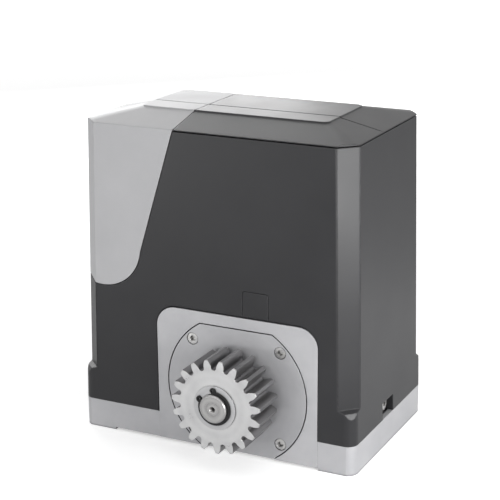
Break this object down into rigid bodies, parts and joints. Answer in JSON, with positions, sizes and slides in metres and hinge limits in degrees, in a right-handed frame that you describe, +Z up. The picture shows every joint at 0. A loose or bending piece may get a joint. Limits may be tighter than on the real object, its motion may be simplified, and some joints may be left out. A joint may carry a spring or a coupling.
{
  "type": "sliding gate motor",
  "caption": "Sliding gate motor: cast base with worm gearbox, rack pinion on the front, vertical motor, control gear and a lift-off plastic cover with bevelled corners.",
  "frame": {"origin": "middle of the base's footprint, on the ground plane under the pads", "axes": "+Z up, -Y to the front where the pinion meets the rack, +X to the right seen from the front"},
  "size_m": [0.265, 0.2083, 0.2917],
  "materials": {
    "cast_aluminium": "fine blasted casting",
    "machined_aluminium": "machined satin",
    "zinc_screws": "zinc plated",
    "rubber_black": "black rubber",
    "bearing_steel": "ground steel",
    "shaft_steel": "turned steel",
    "pinion_steel": "turned and milled, zinc plated",
    "washer_steel": "zinc plated",
    "black_oxide": "black oxide",
    "wheel_bronze": "bronze",
    "lamination_steel": "laminated steel",
    "copper_winding": "enamelled copper",
    "motor_paint": "black paint",
    "housing_grey": "moulded plastic",
    "lever_dark": "moulded plastic",
    "lock_brass": "nickel plated brass",
    "carrier_plastic": "moulded plastic",
    "capacitor_white": "white plastic can",
    "clip_plastic": "black nylon",
    "board_green": "solder resist",
    "terminal_green": "green plastic",
    "relay_black": "black plastic",
    "cover_dark": "fine mould texture, charcoal",
    "cap_silver": "silver grey, fine texture"
  },
  "bodies": {
    "base": {"base_casting": "cast_aluminium", "gearbox_flange": "machined_aluminium", "flange_screws": "zinc_screws", "shaft_seal": "rubber_black", "front_bearing_outer_ring": "bearing_steel", "rear_bearing_outer_ring": "bearing_steel", "release_housing": "housing_grey", "release_screws": "zinc_screws", "motor_flange": "machined_aluminium", "motor_housing": "motor_paint", "stator_core": "lamination_steel", "stator_windings": "copper_winding", "motor_end_shield": "machined_aluminium", "motor_tie_bolts": "zinc_screws", "worm_bearing_outer_ring": "bearing_steel", "main_bearing_outer_ring": "bearing_steel", "top_bearing_outer_ring": "bearing_steel", "capacitor": "capacitor_white", "capacitor_clip": "clip_plastic", "board_carrier": "carrier_plastic", "control_board": "board_green", "terminal_blocks": "terminal_green", "relays": "relay_black", "setting_buttons": "relay_black", "processor": "relay_black", "transformer_core": "lamination_steel", "transformer_coil": "copper_winding", "limit_sensor": "clip_plastic", "cable_grommet": "rubber_black", "levelling_screws": "zinc_screws", "cover_screws": "zinc_screws"},
    "output": {"output_shaft": "shaft_steel", "pinion": "pinion_steel", "pinion_key": "bearing_steel", "pinion_washer": "washer_steel", "pinion_circlip": "black_oxide", "worm_wheel": "wheel_bronze", "clutch_spring": "bearing_steel", "front_bearing_inner_ring": "bearing_steel", "rear_bearing_inner_ring": "bearing_steel"},
    "rotor": {"worm_shaft": "shaft_steel", "rotor_core": "lamination_steel", "worm_bearing_inner_ring": "bearing_steel", "main_bearing_inner_ring": "bearing_steel", "top_bearing_inner_ring": "bearing_steel"},
    "clutch": {"clutch_dog": "shaft_steel", "clutch_cross_pin": "bearing_steel"},
    "rod": {"push_rod": "bearing_steel"},
    "lever": {"release_lever": "lever_dark"},
    "lock": {"lock_plug": "lock_brass"},
    "cover": {"cover_body": "cover_dark", "cover_lid": "cover_dark", "end_cap": "cap_silver", "window_plug": "cover_dark"}
  },
  "joints": [
    {"name": "rotor_spin", "type": "hinge", "parent": "base", "child": "rotor", "pos_m": [-0.028, -0.02, 0.1], "axis": [0, 0, 1], "continuous": true},
    {"name": "output_spin", "type": "hinge", "parent": "base", "child": "output", "pos_m": [0.023, -0.082, 0.059], "axis": [0, -1, 0], "continuous": true},
    {"name": "lever_turn", "type": "hinge", "parent": "base", "child": "lever", "pos_m": [0.023, 0.082, 0.059], "axis": [0, 1, 0], "range_deg": [0, 90]},
    {"name": "lock_turn", "type": "hinge", "parent": "lever", "child": "lock", "pos_m": [0.023, 0.082, 0.059], "axis": [0, 1, 0], "range_deg": [0, 90]},
    {"name": "rod_slide", "type": "slide", "parent": "base", "child": "rod", "axis": [0, -1, 0], "range_m": [0, 0.005]},
    {"name": "dog_slide", "type": "slide", "parent": "output", "child": "clutch", "axis": [0, -1, 0], "range_m": [0, 0.005], "deforming": ["clutch_spring"]},
    {"name": "cover_lift", "type": "slide", "parent": "base", "child": "cover", "axis": [0, 0, 1], "range_m": [0, 0.3]}
  ],
  "couplings": [
    {"joint": "output_spin", "follows": "rotor_spin", "ratio": 0.03125},
    {"joint": "lever_turn", "follows": "rod_slide", "rad_per_m": 314.16},
    {"joint": "dog_slide", "follows": "rod_slide", "ratio": 1}
  ]
}
